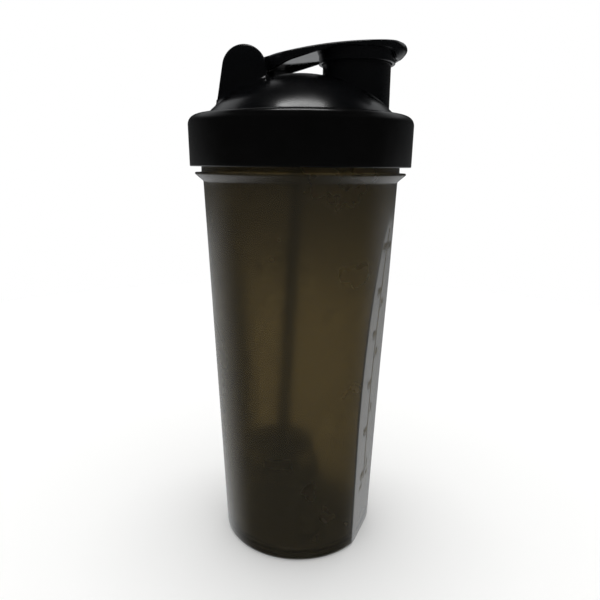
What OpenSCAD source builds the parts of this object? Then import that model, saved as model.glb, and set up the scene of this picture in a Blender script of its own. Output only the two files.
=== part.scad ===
// Protein shaker bottle: a tapered cup with a screw lid, a flip cap over the
// drinking spout, and a mixer that hangs from the lid by a ball.
// The base stands on Z = 0 with its centre at the origin. The spout is on +X.

/* [Cup] */
// Outer radius of the cup at the base
cup_base_r = 36.4; // [30:0.1:44]
// Outer radius of the cup under the support flange
cup_top_r = 43.5; // [38:0.1:54]
// Height at which the cup's wall ends under the flange
cup_h = 172; // [140:1:210]
// Thickness of the cup's wall
cup_wall = 2.2; // [1.6:0.1:3]
// Thickness of the cup's floor
cup_floor = 2.8; // [2:0.1:4]
// Rounding of the base's outer edge
base_round = 2; // [1:0.1:3]
// Rounding of the floor's inner corner
floor_round = 5; // [2:0.5:8]
// Depth of the hollow under the floor
foot_hollow = 1; // [0.5:0.1:1.4]
// Width of the ring that the cup stands on
foot_w = 5; // [4:0.5:8]

/* [Flange and neck] */
// How far the support flange stands out from the wall
flange_out = 3.5; // [2:0.1:5]
// Height of the flare under the flange
flange_flare = 3; // [2:0.1:5]
// Thickness of the flange at its edge
flange_edge = 0.8; // [0.6:0.1:2]
// How far the neck stands out from the top of the wall
neck_step = 0.7; // [0.4:0.1:1.5]
// Height of the neck above the flange
neck_h = 18.4; // [16:0.2:24]
// Thickness of the neck
neck_wall = 2.4; // [2:0.1:3]

/* [Screw thread] */
// Rise of the thread in one turn
thread_lead = 7; // [6:0.5:8]
// How far a thread rib stands out
thread_out = 1.5; // [1:0.1:1.8]
// Width of a rib at its root
thread_root_w = 3; // [2.4:0.1:3.2]
// Width of a rib at its crest
thread_crest_w = 1.4; // [1:0.1:1.6]
// Angle that the cup's rib covers
cup_thread_deg = 396; // [360:6:420]
// Angle by which the lid's rib starts after the cup's
lid_thread_lag = 60; // [48:6:90]
// Free space between a crest and the wall across from it
thread_radial_gap = 0.5; // [0.3:0.05:0.8]
// Free space between two flanks when the lid is closed
thread_axial_gap = 0.3; // [0.2:0.05:0.5]

/* [Measuring panels] */
// Direction that the marked panel faces, round from the spout side
panel_deg = -23.4; // [-60:0.1:60]
// How deep the panel cuts into the round wall at the base
panel_cut_low = 2.3; // [1.5:0.1:3]
// How deep it cuts in where it starts to bend outwards
panel_cut_high = 2.7; // [1.5:0.1:3.5]
// Height at which the panel starts to bend outwards
panel_bend_z = 54; // [30:1:80]
// Distance from the panel's pointed tip up to the end of the wall
panel_tip_drop = 14.4; // [8:0.1:40]
// Thickness of the wall behind a panel
panel_wall = 2; // [1.5:0.1:3]
// How far the marks stand out from the panel
mark_out = 0.3; // [0.2:0.05:0.5]
// Width of a mark's line
mark_w = 0.6; // [0.4:0.1:1]
// Length of a volume mark
mark_len = 6; // [3:0.5:8]
// Height of the lower end of the line between the two scales
mark_line_low = 30; // [20:1:40]
// Distance from that line's upper end to the panel's tip
mark_line_drop = 4.6; // [3:0.1:10]

/* [Lid] */
// Gap between the flange and the lid's collar
collar_gap = 2.4; // [1.5:0.1:4]
// Thickness of the collar
collar_wall = 3.2; // [2.4:0.1:4]
// Draft of the collar's outer wall, at its lower edge
collar_draft = 0.3; // [0:0.1:0.8]
// Rounding of the collar's shoulder
collar_round = 4; // [2:0.1:5]
// Width of the sloping shoulder, from the collar's wall to the dome
shoulder_w = 8.2; // [7:0.1:10]
// Rise of the shoulder towards the dome
shoulder_rise = 0.9; // [0.4:0.1:2]
// Thickness of the lid's roof over the neck, at the collar's wall
roof_t = 3.1; // [2.4:0.1:4]
// Width and depth of the groove round the foot of the dome
groove_w = 0.6; // [0.4:0.1:1]
// Rise of the dome
dome_rise = 17.4; // [12:0.1:22]
// Thickness of the dome
dome_wall = 2.2; // [1.8:0.1:3]
// Thickness of the skirt that plugs into the neck
plug_wall = 2; // [1.5:0.1:2.5]
// Depth of that skirt below the neck's rim
plug_depth = 6; // [4:0.5:10]
// Clearance between the skirt and the neck
plug_gap = 0.5; // [0.3:0.05:0.8]

/* [Spout] */
// Outer radius of the spout
spout_r = 14.7; // [12:0.1:15]
// Thickness of the spout
spout_wall = 2.3; // [1.8:0.1:3]
// Distance from the spout to the foot of the dome
spout_edge = 2.5; // [2:0.1:5]
// Height of the spout above the dome's top
spout_rise = 7.7; // [6:0.1:12]

/* [Hinge] */
// Distance of the hinge from the foot of the dome
hinge_edge = 17.6; // [16:0.1:20]
// Radius of the arm's knuckle
knuckle_r = 5.2; // [4.6:0.1:6]
// Clearance between the knuckle and the dome
knuckle_gap = 0.34; // [0.3:0.01:1]
// Radius of the two hinge studs
stud_r = 2.2; // [1.8:0.1:2.6]
// Length of each stud
stud_len = 2.4; // [1.8:0.1:3]
// Clearance of a stud in its socket
stud_gap = 0.06; // [0.03:0.01:0.1]
// Radius of an ear's round top
ear_r = 9.2; // [8.5:0.1:10.5]
// How far the middle of that round top sits below the hinge
ear_drop = 0.45; // [0:0.05:1.5]
// Thickness of an ear
ear_t = 5; // [4.4:0.1:6]
// Clearance between an ear and the arm
ear_gap = 0.3; // [0.2:0.05:0.6]
// How far an ear's outer foot stands back from its round top
ear_foot_back = 3.1; // [1:0.1:4]

/* [Flip cap] */
// Width of the arm between the ears
arm_w = 16.6; // [14:0.1:18]
// Thickness of the arm's side walls
arm_side = 1.8; // [1.4:0.1:2.4]
// Step from the top of the knuckle down to the arm's top
arm_step = 0.5; // [0.3:0.1:2]
// Depth of the cap's lower edge below its highest point, round the spout
edge_depth = 4.2; // [3.8:0.1:5]
// Distance from the spout back to where that edge begins to fall towards the hinge
edge_bend_back = 10; // [8:0.5:14]
// Fall of that edge towards the hinge, in each millimetre
edge_fall = 0.31; // [0.2:0.01:0.4]
// Fall of the hollow's ceiling towards the hinge, in each millimetre
ceiling_fall = 0.2; // [0.1:0.01:0.26]
// Depth of the hollow in the finger tab, above the lower edge
edge_lip = 1; // [0.6:0.1:1.6]
// Radius of the plate's shoulders, where it narrows to the arm
shoulder_r = 6; // [3:0.5:8]
// Distance from the spout to the middle of a shoulder
shoulder_back = 27.8; // [22:0.1:30]
// Angle between the narrowing edge and the arm
shoulder_deg = 52; // [40:1:70]
// Radius of the crown across the arm
arm_crown_r = 66; // [50:1:90]
// Clearance between the cap's skirt and the spout
skirt_gap = 0.4; // [0.3:0.05:0.8]
// Thickness of the cap's skirt
skirt_wall = 1.4; // [1.2:0.1:2]
// How far the skirt reaches down over the spout
skirt_lap = 3.8; // [2:0.1:5]
// How far the cap's rim stands out over the skirt
rim_out = 0.8; // [0.4:0.1:1.5]
// Thickness of the cap above the spout seal
cap_t = 3.6; // [3:0.1:5]
// How far the finger tab stands out from the cap
tab_out = 4.2; // [3:0.1:6]
// Radius of the finger tab
tab_r = 9.5; // [8:0.1:11]
// Depth of the tab's lip
tab_lip = 6.6; // [5:0.1:8]
// Rounding of the tab's nose
tab_round = 3.2; // [2:0.1:4]

/* [Seals] */
// Thickness of the lid gasket
gasket_t = 1.6; // [1.2:0.1:2.4]
// Thickness of the spout seal's disc
seal_t = 1.6; // [1.2:0.1:2]
// Depth of the spout seal's stopper
stopper_depth = 2.4; // [1.5:0.1:3]
// Clearance between the stopper and the spout
stopper_gap = 0.6; // [0.5:0.05:1]
// Free space that is left where a seal meets a rim
seat_gap = 0.05; // [0.03:0.01:0.1]

/* [Mixer] */
// Radius of the ball at the top of the rod
ball_r = 3.9; // [3.5:0.1:4.4]
// Clearance between the ball and its socket
ball_gap = 0.1; // [0.06:0.01:0.2]
// Height of the ball's centre below the dome's top
ball_drop = 17.3; // [14:0.1:20]
// Radius of the boss round the socket
boss_r = 6.6; // [6.2:0.1:8]
// Radius of the mixing rod
rod_r = 3; // [2.4:0.1:3.2]
// Angle at which the rod leans back from the spout
rod_lean = 2.95; // [0:0.05:3.2]
// Height of the mixing head's foot above the cup's floor
head_clear = 5; // [4:0.5:20]
// Height of the mixing head
head_h = 37; // [24:1:50]
// Outer radius of the mixing head
head_r = 20; // [14:0.5:21]
// Radius of the mixing head's hub
hub_r = 5; // [4.4:0.1:6]
// Number of blades
blade_count = 6; // [4:1:8]
// Thickness of a blade
blade_t = 1.6; // [1.2:0.1:2.2]
// Depth of the rod's seat in the hub
hub_seat = 14; // [8:1:18]

/* [Hidden] */
$fn = 128;

// --- Cup: outline and panels
cup_slope = (cup_top_r - cup_base_r) / cup_h;
flange_z = cup_h + flange_flare + flange_edge;
neck_r = cup_top_r + neck_step;
neck_in_r = neck_r - neck_wall;
neck_top = flange_z + neck_h;
panel_tip_z = cup_h - panel_tip_drop;
mark_line_high = panel_tip_z - mark_line_drop;

function cup_r(z) = cup_base_r + cup_slope * z;
function arc(cx, cy, r, from, to, steps) =
    [for (i = [0:steps]) let (a = from + (to - from) * i / steps) [cx + r * cos(a), cy + r * sin(a)]];

// Distance of a panel's face from the axis: straight, then an arc that runs out of the wall
panel_slope = (cup_r(panel_bend_z) - panel_cut_high - cup_base_r + panel_cut_low) / panel_bend_z;
function panel_line(z) = cup_base_r - panel_cut_low + panel_slope * z;
panel_bend_r = pow(panel_tip_z - panel_bend_z, 2) / (2 * (cup_r(panel_tip_z) - panel_line(panel_tip_z)));
function panel_d(z) = panel_line(z) + pow(max(0, z - panel_bend_z), 2) / (2 * panel_bend_r);

// --- Volume marks: the height at which the cup holds a volume
ml_per_oz = 29.57;
ml_marks = [for (v = [100:100:600]) v];
oz_marks = [for (v = [4:4:20]) v * ml_per_oz];
wall_in_r0 = cup_base_r - cup_wall;
function segment(r, d) = d >= r ? 0 : r * r * acos(d / r) * PI / 180 - d * sqrt(r * r - d * d);
function level_area(z) = let (r = wall_in_r0 + cup_slope * z)
    PI * r * r - 2 * segment(r, panel_d(z) - panel_wall);
level_step = 2;
function level_of(mm3, z = cup_floor) = mm3 <= 0 ? z
    : level_of(mm3 - level_area(z + level_step / 2) * level_step, z + level_step);
function mark_z(ml) = level_of(ml * 1000);

// --- Thread: the lid's rib runs under the cup's
thread_low = flange_z + 5.6;
thread_crest_r = neck_r + thread_out;
collar_in_r = thread_crest_r + thread_radial_gap;
flank = (thread_root_w - thread_crest_w) / 2;
flanks_meet = thread_root_w - flank * (1 + thread_radial_gap / thread_out);
lid_thread_drop = flanks_meet + thread_axial_gap;
rib_steps_per_turn = 48;
rib_taper_deg = 20;
rib_sunk = 0.6;

// --- Lid: heights and radii
collar_r = collar_in_r + collar_wall;
collar_low = flange_z + collar_gap;
roof_z = neck_top + gasket_t + 2 * seat_gap;
shoulder_z = roof_z + roof_t;
dome_r = collar_r - shoulder_w;
dome_z = shoulder_z + shoulder_rise;
dome_top = dome_z + dome_rise;
ball_radius_of_dome = (dome_r * dome_r + dome_rise * dome_rise) / (2 * dome_rise);
dome_centre = dome_top - ball_radius_of_dome;
plug_r = neck_in_r - plug_gap;
plug_low = neck_top - plug_depth;

// --- Spout and hinge
spout_x = dome_r - spout_r - spout_edge;
spout_in_r = spout_r - spout_wall;
spout_top = dome_top + spout_rise;
hinge_x = hinge_edge - dome_r;
hinge_reach = ball_radius_of_dome + knuckle_gap + knuckle_r;
hinge_z = dome_centre + sqrt(hinge_reach * hinge_reach - hinge_x * hinge_x);
ear_in_y = arm_w / 2 + ear_gap;
ear_z = hinge_z - ear_drop;

// --- Flip cap: one arc carries the top from the hinge over the spout
cap_seat_z = spout_top + seal_t + 2 * seat_gap;
cap_top = cap_seat_z + cap_t;
skirt_in_r = spout_r + skirt_gap;
skirt_r = skirt_in_r + skirt_wall;
rim_r = skirt_r + rim_out;
skirt_low = spout_top - skirt_lap;
tab_x = spout_x + rim_r + tab_out - tab_r;
tab_end = tab_x + tab_r;
arc_x = spout_x + 10;
arc_start_x = hinge_x + 6;
arc_start_z = hinge_z + knuckle_r - arm_step;
arc_dx = arc_x - arc_start_x;
arc_dz = cap_top - arc_start_z;
arc_r = (arc_dx * arc_dx + arc_dz * arc_dz) / (2 * arc_dz);
arc_z = cap_top - arc_r;
edge_z = cap_top - edge_depth;
edge_bend_x = spout_x - edge_bend_back;
shoulder_x = spout_x - shoulder_back;

// --- Mixer
ball_z = dome_top - ball_drop;
socket_r = ball_r + ball_gap;
boss_low = ball_z - 3.2;
lip_r = ball_r - 0.3;
head_low = (ball_z - cup_floor - head_clear) / cos(rod_lean);
head_top = head_low - head_h;

module at_lean() {
    translate([0, 0, ball_z]) rotate([0, rod_lean, 0]) children();
}

// The space outside a panel's face, moved in by a wall
module panel_space(inset = 0) {
    steps = 24;
    top = cup_h - 2;
    far = cup_top_r + 20;
    face = [for (i = [0:steps]) let (z = panel_bend_z + (top - panel_bend_z) * i / steps)
        [panel_d(z) - inset, z]];
    rotate([90, 0, 0]) linear_extrude(2 * cup_top_r, center = true)
        polygon(concat([[panel_d(-2) - inset, -2]], face, [[far, top], [far, -2]]));
}

module both_panels(inset = 0) {
    for (a = [panel_deg, panel_deg + 180]) rotate([0, 0, a]) panel_space(inset);
}

// A flat line on the marked panel: u runs across the panel, z up it
module panel_line_mark(u_from, u_to, z_from, z_to) {
    steps = ceil((z_to - z_from) / 8);
    heights = [for (i = [0:steps]) z_from + (z_to - z_from) * i / steps];
    outer = [for (z = heights) [panel_d(z) + mark_out, z]];
    inner = [for (i = [steps:-1:0]) [panel_d(heights[i]) - 0.5, heights[i]]];
    rotate([0, 0, panel_deg]) translate([0, u_to, 0]) rotate([90, 0, 0])
        linear_extrude(u_to - u_from) polygon(concat(outer, inner));
}

module panel_marks() {
    panel_line_mark(-mark_w / 2, mark_w / 2, mark_line_low, mark_line_high);
    for (v = ml_marks) let (z = mark_z(v))
        if (z < mark_line_high) panel_line_mark(-mark_len, 0, z - mark_w / 2, z + mark_w / 2);
    for (v = oz_marks) let (z = mark_z(v))
        if (z < mark_line_high) panel_line_mark(0, mark_len, z - mark_w / 2, z + mark_w / 2);
}

// A rib that climbs round the axis. Its root lies in the wall that carries it
module helical_rib(root_r, crest_r, angle, start_deg, start_z) {
    steps = ceil(angle / 360 * rib_steps_per_turn);
    sunk = crest_r > root_r ? -rib_sunk : rib_sunk;
    rings = [for (i = [0:steps])
        let (a = angle * i / steps,
             grow = max(0.1, min(1, min(a, angle - a) / rib_taper_deg)),
             z = start_z + thread_lead * a / 360,
             rr = root_r + sunk,
             rc = root_r + (crest_r - root_r) * grow,
             t = a + start_deg,
             section = [[rr, -thread_root_w / 2], [rc, -thread_crest_w / 2],
                        [rc, thread_crest_w / 2], [rr, thread_root_w / 2]])
        for (p = section) [p[0] * cos(t), p[0] * sin(t), z + p[1]]];
    out = crest_r > root_r;
    sides = [for (i = [0:steps - 1]) for (j = [0:3])
        let (a = 4 * i + j, b = 4 * i + (j + 1) % 4, c = b + 4, d = a + 4)
        out ? [a, b, c, d] : [d, c, b, a]];
    first = out ? [3, 2, 1, 0] : [0, 1, 2, 3];
    last = [for (k = first) 4 * steps + 3 - k];
    polyhedron(points = rings, faces = concat([first], sides, [last]));
}

module cup_outside() {
    r = base_round;
    rotate_extrude() polygon(concat(
        [[0, 0]],
        arc(cup_base_r - r, r, r, -90, 0, 8),
        [[cup_top_r, cup_h],
         [cup_top_r + flange_out, cup_h + flange_flare],
         [cup_top_r + flange_out, flange_z],
         [neck_r, flange_z],
         [neck_r, neck_top - 0.8],
         [neck_r - 0.8, neck_top],
         [0, neck_top]]));
}

module cup_inside() {
    r = floor_round;
    low_r = wall_in_r0 + cup_slope * (cup_floor + r);
    difference() {
        rotate_extrude() polygon(concat(
            [[0, cup_floor]],
            arc(low_r - r, cup_floor + r, r, -90, 0, 8),
            [[cup_top_r - cup_wall, cup_h],
             [neck_in_r, flange_z],
             [neck_in_r, neck_top + 1],
             [0, neck_top + 1]]));
        both_panels(panel_wall);
    }
}

module cup() {
    color("DimGray") {
        difference() {
            cup_outside();
            both_panels();
            cup_inside();
            translate([0, 0, -1]) cylinder(r = cup_base_r - panel_cut_low - foot_w, h = 1 + foot_hollow);
        }
        panel_marks();
        helical_rib(neck_r, thread_crest_r, cup_thread_deg, 0, thread_low);
    }
}

module dome_ball(r) {
    translate([0, 0, dome_centre]) sphere(r = r, $fn = 192);
}

module collar_and_dome() {
    top_r = collar_r - collar_round;
    rotate_extrude() polygon(concat(
        [[0, collar_low], [collar_r - collar_draft, collar_low]],
        arc(top_r, shoulder_z - collar_round, collar_round, 0, 90, 10),
        [[dome_r + groove_w, dome_z],
         [dome_r + groove_w, dome_z - groove_w],
         [0, dome_z - groove_w]]));
    intersection() {
        dome_ball(ball_radius_of_dome);
        translate([0, 0, dome_z - 2]) cylinder(r = dome_r, h = dome_rise + 4);
    }
}

// The outline of an ear, from the round top to a foot inside the dome
module ear_outline() {
    foot_z = dome_z;
    translate([hinge_x, ear_z]) circle(r = ear_r);
    polygon([
        [hinge_x - ear_r, ear_z], [hinge_x - ear_r - ear_foot_back, foot_z],
        [hinge_x + ear_r, foot_z], [hinge_x + ear_r, ear_z]]);
}

module ears() {
    for (side = [-1, 1])
        translate([0, side > 0 ? ear_in_y + ear_t : -ear_in_y, 0])
            rotate([90, 0, 0]) linear_extrude(ear_t) ear_outline();
}

// The hollow of the lid: the groove for the neck, and the dome inside its plug skirt
module lid_inside() {
    difference() {
        translate([0, 0, collar_low - 1]) cylinder(r = collar_in_r, h = roof_z - collar_low + 1);
        translate([0, 0, plug_low]) cylinder(r = plug_r, h = roof_z - plug_low + 1);
    }
    intersection() {
        dome_ball(ball_radius_of_dome - dome_wall);
        translate([0, 0, plug_low - 1]) cylinder(r = plug_r - plug_wall, h = dome_top);
    }
}

module ball_boss() {
    slot_w = 1.2;
    difference() {
        intersection() {
            translate([0, 0, boss_low]) cylinder(r = boss_r, h = dome_top - boss_low);
            dome_ball(ball_radius_of_dome - dome_wall / 2);
        }
        translate([0, 0, ball_z]) sphere(r = socket_r);
        translate([0, 0, ball_z - 1.8]) cylinder(r = socket_r, h = 1.8);
        translate([0, 0, boss_low - 1]) cylinder(r = lip_r, h = ball_z - boss_low);
        for (a = [45, 135]) rotate([0, 0, a])
            translate([-boss_r - 1, -slot_w / 2, boss_low - 1])
                cube([2 * boss_r + 2, slot_w, ball_z - boss_low + 3]);
    }
}

module lid() {
    lid_thread_deg = cup_thread_deg - 18;
    color("#17191b") {
        difference() {
            union() {
                collar_and_dome();
                ears();
                translate([spout_x, 0, dome_z]) cylinder(r = spout_r, h = spout_top - dome_z);
            }
            lid_inside();
            translate([spout_x, 0, dome_z - 4]) cylinder(r = spout_in_r, h = spout_top - dome_z + 5);
            translate([hinge_x, 0, hinge_z]) rotate([90, 0, 0])
                cylinder(r = stud_r + stud_gap, h = 2 * (ear_in_y + stud_len), center = true);
        }
        ball_boss();
        helical_rib(collar_in_r, collar_in_r - thread_out, lid_thread_deg, lid_thread_lag,
            thread_low + thread_lead * lid_thread_lag / 360 - lid_thread_drop);
    }
}

// Two circles and the straight lines that touch both
module bar(x1, r1, x2, r2) {
    a = acos((r1 - r2) / (x2 - x1));
    translate([x1, 0]) circle(r = r1);
    translate([x2, 0]) circle(r = r2);
    polygon([
        [x1 + r1 * cos(a), r1 * sin(a)], [x2 + r2 * cos(a), r2 * sin(a)],
        [x2 + r2 * cos(a), -r2 * sin(a)], [x1 + r1 * cos(a), -r1 * sin(a)]]);
}

// Where the straight edge from a shoulder would meet the cap's middle line
function shoulder_end(inset) = let (r = shoulder_r - inset, a = 90 + shoulder_deg,
    x = shoulder_x + r * cos(a), y = rim_r - shoulder_r + r * sin(a)) [x - y / tan(shoulder_deg), 0];

// The cap seen from above: narrow arm, wide plate with round shoulders, finger tab
module cap_plan(inset = 0) {
    half = arm_w / 2 - inset;
    translate([hinge_x, -half]) square([spout_x - hinge_x, 2 * half]);
    for (side = [0, 1]) mirror([0, side]) polygon(concat(
        [[spout_x, 0], [spout_x, rim_r - inset]],
        arc(shoulder_x, rim_r - shoulder_r, shoulder_r - inset, 90, 90 + shoulder_deg, 8),
        [shoulder_end(inset)]));
    bar(spout_x, rim_r - inset, tab_x, tab_r - inset);
}

// Everything under the cap's crowned top, moved down by a thickness
module under_top(drop = 0) {
    translate([arc_x, 0, arc_z]) rotate([90, 0, 0]) rotate_extrude($fn = 360)
        intersection() {
            translate([arc_r - drop - arm_crown_r, 0]) circle(r = arm_crown_r, $fn = 256);
            translate([arc_r - 60, -30]) square([70, 60]);
        }
}

// Everything under the cap's lower edge, or under the ceiling of its hollow
module under_edge(fall = edge_fall, lip = 0) {
    low = hinge_z - 30;
    back_x = hinge_x - 20;
    rotate([90, 0, 0]) linear_extrude(80, center = true) polygon(concat(
        [[back_x, low], [back_x, edge_z - fall * (edge_bend_x - back_x)], [edge_bend_x, edge_z]],
        lip > 0 ? [[spout_x, edge_z + lip]] : [],
        [[tab_end + 10, edge_z + lip], [tab_end + 10, low]]));
}

module cap_column(from, to, inset = 0) {
    translate([0, 0, from]) linear_extrude(to - from) cap_plan(inset);
}

module cap_shell() {
    low = hinge_z - 10;
    high = cap_top + 4;
    difference() {
        intersection() {
            cap_column(low, high);
            under_top();
        }
        under_edge();
        intersection() {
            cap_column(low, high, arm_side);
            under_edge(ceiling_fall, edge_lip);
        }
        translate([hinge_x, 0, hinge_z]) rotate([90, 0, 0])
            cylinder(r = knuckle_r - 0.5, h = 2 * arm_w, center = true);
    }
}

// The lip under the nose of the finger tab
module tab_hook() {
    low = cap_top - tab_lip;
    intersection() {
        difference() {
            cap_column(low, cap_top);
            cap_column(low - 1, cap_top, arm_side);
        }
        under_top();
        translate([tab_end - 4, -40, low]) cube([10, 80, 20]);
    }
}

module nose_corner() {
    r = tab_round;
    translate([tab_end - r, 40, cap_top - 0.4 - r]) rotate([90, 0, 0]) linear_extrude(80)
        difference() {
            square([r + 2, r + 3]);
            circle(r = r);
        }
}

module flip_cap() {
    color("#1b1d20") difference() {
        union() {
            cap_shell();
            tab_hook();
            intersection() {
                translate([spout_x, 0, skirt_low]) cylinder(r = skirt_r, h = cap_top - skirt_low);
                under_top(0.3);
            }
            translate([hinge_x, 0, hinge_z]) rotate([90, 0, 0]) {
                cylinder(r = knuckle_r, h = arm_w, center = true);
                cylinder(r = stud_r, h = 2 * (ear_in_y + stud_len - 0.3), center = true);
            }
        }
        translate([spout_x, 0, skirt_low - 1]) cylinder(r = skirt_in_r, h = cap_seat_z - skirt_low + 1);
        nose_corner();
    }
}

module spout_seal() {
    stopper_r = spout_in_r - stopper_gap;
    color("#3a3f44") translate([spout_x, 0, 0]) difference() {
        union() {
            translate([0, 0, spout_top + seat_gap]) cylinder(r = skirt_in_r, h = seal_t + seat_gap);
            translate([0, 0, spout_top - stopper_depth]) cylinder(r = stopper_r, h = stopper_depth + 1);
        }
        translate([0, 0, spout_top - stopper_depth - 1]) cylinder(r = stopper_r - 2, h = stopper_depth + 1);
    }
}

module lid_gasket() {
    gasket_in = plug_r + 0.2;
    gasket_out = neck_r + 0.1;
    color("#2b2e31") difference() {
        translate([0, 0, neck_top + seat_gap]) cylinder(r = gasket_out, h = gasket_t);
        translate([0, 0, neck_top - 1]) cylinder(r = gasket_in, h = gasket_t + 3);
    }
}

module mixing_rod() {
    color("#202224") at_lean() {
        sphere(r = ball_r, $fn = 96);
        translate([0, 0, -head_top - hub_seat]) cylinder(r = rod_r, h = head_top + hub_seat);
    }
}

module blade_outline() {
    low_r = head_r * 0.72;
    polygon(concat(
        [[hub_r - 1, 0], [low_r, 0]],
        [for (i = [0:12]) let (t = i / 12)
            [low_r + (head_r - low_r) * sin(180 * t), 2 + (head_h - 4) * t]],
        [[low_r, head_h], [hub_r - 1, head_h]]));
}

module mixing_head() {
    ring = 2;
    color("#202224") at_lean() translate([0, 0, -head_low]) difference() {
        union() {
            cylinder(r = hub_r, h = head_h);
            for (i = [0:blade_count - 1]) rotate([90, 0, 360 * i / blade_count])
                translate([0, 0, -blade_t / 2]) linear_extrude(blade_t) difference() {
                    blade_outline();
                    for (z = [head_h * 0.28, head_h * 0.72])
                        translate([(hub_r + head_r * 0.86) / 2, z]) scale([1, 1.25]) circle(r = head_r / 5);
                }
            for (z = [ring / 2, head_h - ring / 2]) translate([0, 0, z - ring / 2]) difference() {
                cylinder(r = head_r * 0.76, h = ring);
                translate([0, 0, -1]) cylinder(r = head_r * 0.76 - ring * 1.5, h = ring + 2);
            }
            translate([0, 0, head_h / 2 - ring / 2]) difference() {
                cylinder(r = head_r, h = ring);
                translate([0, 0, -1]) cylinder(r = head_r - ring, h = ring + 2);
            }
        }
        translate([0, 0, head_h - hub_seat]) cylinder(r = rod_r, h = hub_seat + 1);
    }
}

cup();
lid();
flip_cap();
spout_seal();
lid_gasket();
mixing_rod();
mixing_head();
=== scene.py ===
import math

import bmesh
import bpy
import numpy as np
from mathutils import Matrix, Vector


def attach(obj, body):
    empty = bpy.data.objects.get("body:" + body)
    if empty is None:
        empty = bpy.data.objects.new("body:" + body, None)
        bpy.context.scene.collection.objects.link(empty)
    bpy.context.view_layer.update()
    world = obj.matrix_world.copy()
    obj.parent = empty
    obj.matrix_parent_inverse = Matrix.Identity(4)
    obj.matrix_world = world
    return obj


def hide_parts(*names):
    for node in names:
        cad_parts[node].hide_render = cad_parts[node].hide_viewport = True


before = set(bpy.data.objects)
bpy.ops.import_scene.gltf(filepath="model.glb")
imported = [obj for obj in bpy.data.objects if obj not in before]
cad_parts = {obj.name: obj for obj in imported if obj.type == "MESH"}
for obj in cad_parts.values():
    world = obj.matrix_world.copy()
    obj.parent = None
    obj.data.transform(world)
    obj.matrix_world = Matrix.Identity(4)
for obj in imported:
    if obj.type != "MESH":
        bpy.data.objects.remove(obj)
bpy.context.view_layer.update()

# Lengths are in millimetres, as in the part. A mesh is turned to metres when it is made.
MM = 0.001

# Cup
CUP_BASE_R, CUP_TOP_R, CUP_H = 36.4, 43.5, 172.0
CUP_WALL, CUP_FLOOR, FLOOR_ROUND = 2.2, 2.8, 5.0
FOOT_R, FOOT_HOLLOW, BASE_ROUND = 29.1, 1.0, 2.0
FLANGE_R, FLANGE_LOW, FLANGE_Z = 47.0, 175.0, 175.8
NECK_R, NECK_IN_R, NECK_TOP = 44.2, 41.8, 194.2
CUP_SLOPE = (CUP_TOP_R - CUP_BASE_R) / CUP_H

# The two flat panels
PANEL_TURN = math.radians(-23.4)
PANEL_BEND_Z, PANEL_TIP_Z, PANEL_WALL = 54.0, 157.6, 2.0
PANEL_FOOT_D, PANEL_CUT_HIGH = 34.1, 2.7

# Thread
THREAD_LEAD, THREAD_OUT, THREAD_SUNK = 7.0, 1.5, 0.6
THREAD_ROOT_W, THREAD_CREST_W = 3.0, 1.4
CUP_THREAD_LOW, CUP_THREAD_DEG = 181.4, 396.0
LID_THREAD_LAG, LID_THREAD_DEG, LID_THREAD_DROP = 60.0, 378.0, 2.233

# Lid
COLLAR_R, COLLAR_IN_R, COLLAR_LOW = 49.4, 46.2, 178.2
ROOF_Z, SHOULDER_Z = 195.9, 199.0
DOME_R, DOME_Z, DOME_TOP, DOME_WALL = 41.2, 199.9, 217.3, 2.2
# How deep in the dome's wall a piece on it has its root
SPOUT_SUNK, EAR_SUNK = 1.2, 1.1
DOME_BALL_R = (DOME_R**2 + (DOME_TOP - DOME_Z) ** 2) / (2 * (DOME_TOP - DOME_Z))
DOME_MIDDLE = DOME_TOP - DOME_BALL_R
PLUG_R, PLUG_IN_R, PLUG_LOW = 41.3, 39.3, 188.2
SPOUT_X, SPOUT_R, SPOUT_IN_R, SPOUT_TOP = 24.0, 14.7, 12.4, 225.0
BALL_Z, SOCKET_R, BOSS_R, BOSS_LOW, SOCKET_LIP_R = 200.0, 4.0, 6.6, 196.8, 3.6

# Hinge and flip cap
HINGE_X, KNUCKLE_R, KNUCKLE_GAP = -23.6, 5.2, 0.34
HINGE_Z = DOME_MIDDLE + math.sqrt(
    (DOME_BALL_R + KNUCKLE_GAP + KNUCKLE_R) ** 2 - HINGE_X**2
)
STUD_R, SOCKET_BORE_R, STUD_LEN = 2.2, 2.26, 2.4
ARM_W, EAR_GAP, EAR_T, EAR_R = 16.6, 0.3, 5.0, 9.2
EAR_DROP, EAR_BACK_LEN = 0.45, 17.6
EAR_IN_Y = ARM_W / 2 + EAR_GAP
EAR_Z = HINGE_Z - EAR_DROP
EAR_LEAN = math.radians(9.8)
RIM_R, SKIRT_R, SKIRT_IN_R, SKIRT_LOW = 17.3, 16.5, 15.1, 221.2
CAP_SEAT_Z, CAP_TOP, CAP_WALL, HOOK_Z = 226.7, 230.3, 1.5, 222.9
TAB_X, TAB_R = 36.0, 9.5
SHOULDER_X, SHOULDER_R, SHOULDER_TURN = -3.8, 6.0, math.radians(52)
EDGE_Z, EDGE_BEND_X, EDGE_FALL, CEILING_FALL, EDGE_LIP = 226.1, 14.0, 0.31, 0.2, 1.0
ARC_X, ARC_R = 34.0, 181.0
CROWN_R = 66.0


# ---------------------------------------------------------------- mesh helpers


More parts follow.
